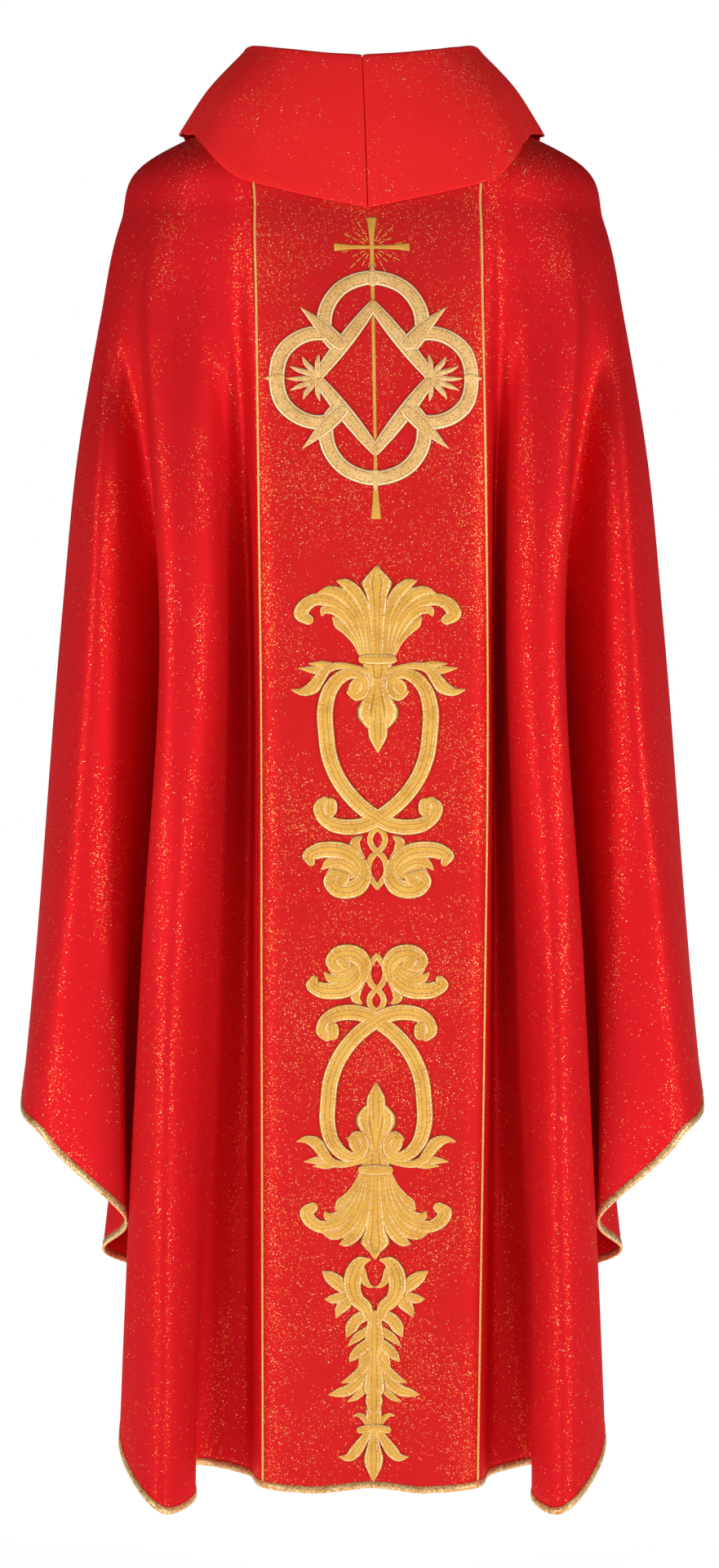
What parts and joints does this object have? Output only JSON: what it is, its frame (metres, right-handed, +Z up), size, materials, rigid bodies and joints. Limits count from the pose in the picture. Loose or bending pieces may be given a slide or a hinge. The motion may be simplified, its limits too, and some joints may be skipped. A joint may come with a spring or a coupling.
{
  "type": "chasuble",
  "caption": "Full-cut gothic chasuble in red lamé with an embroidered orphrey panel, roll collar, gold piping and bound hem, hanging from the neck.",
  "frame": {"origin": "centre of the neck opening, at the height where neck and shoulder meet", "axes": "+Z up along the wearer's neck, -Y out of the back of the garment, +Y out of the front, +X to the wearer's right as seen from behind"},
  "size_m": [0.6266, 0.3863, 1.3463],
  "materials": {
    "lame_cloth": "satin",
    "orphrey_cloth": "satin",
    "interlining": "matte",
    "gold_cord": "satin",
    "gold_binding": "satin",
    "gold_embroidery": "satin",
    "pale_embroidery": "satin",
    "seam_tape": "matte"
  },
  "bodies": {
    "root": {"back_body_left": "lame_cloth", "back_body_right": "lame_cloth", "back_orphrey": "orphrey_cloth", "back_interlining": "interlining", "back_piping_left": "gold_cord", "back_piping_right": "gold_cord", "back_hem_binding": "gold_binding", "back_medallion": "pale_embroidery", "back_cross": "gold_embroidery", "back_upper_scroll": "gold_embroidery", "back_lower_scroll": "gold_embroidery", "back_pendant": "gold_embroidery", "front_body_left": "lame_cloth", "front_body_right": "lame_cloth", "front_orphrey": "orphrey_cloth", "front_interlining": "interlining", "front_piping_left": "gold_cord", "front_piping_right": "gold_cord", "front_hem_binding": "gold_binding", "front_medallion": "pale_embroidery", "front_cross": "gold_embroidery", "front_upper_scroll": "gold_embroidery", "front_lower_scroll": "gold_embroidery", "front_pendant": "gold_embroidery", "collar_left": "lame_cloth", "collar_right": "lame_cloth", "under_collar_left": "lame_cloth", "under_collar_right": "lame_cloth", "hanging_loop": "lame_cloth", "shoulder_tape_left": "seam_tape", "shoulder_tape_right": "seam_tape"},
    "left_wing": {"back_wing_left": "lame_cloth", "front_wing_left": "lame_cloth", "back_wing_binding_left": "gold_binding", "front_wing_binding_left": "gold_binding", "wing_tape_left": "seam_tape"},
    "right_wing": {"back_wing_right": "lame_cloth", "front_wing_right": "lame_cloth", "back_wing_binding_right": "gold_binding", "front_wing_binding_right": "gold_binding", "wing_tape_right": "seam_tape"}
  },
  "joints": [
    {"name": "left_wing_lift", "type": "hinge", "parent": "root", "child": "left_wing", "pos_m": [-0.205, 0, -0.062], "axis": [0, 1, 0], "range_deg": [0, 28]},
    {"name": "right_wing_lift", "type": "hinge", "parent": "root", "child": "right_wing", "pos_m": [0.205, 0, -0.062], "axis": [0, -1, 0], "range_deg": [0, 28]}
  ]
}
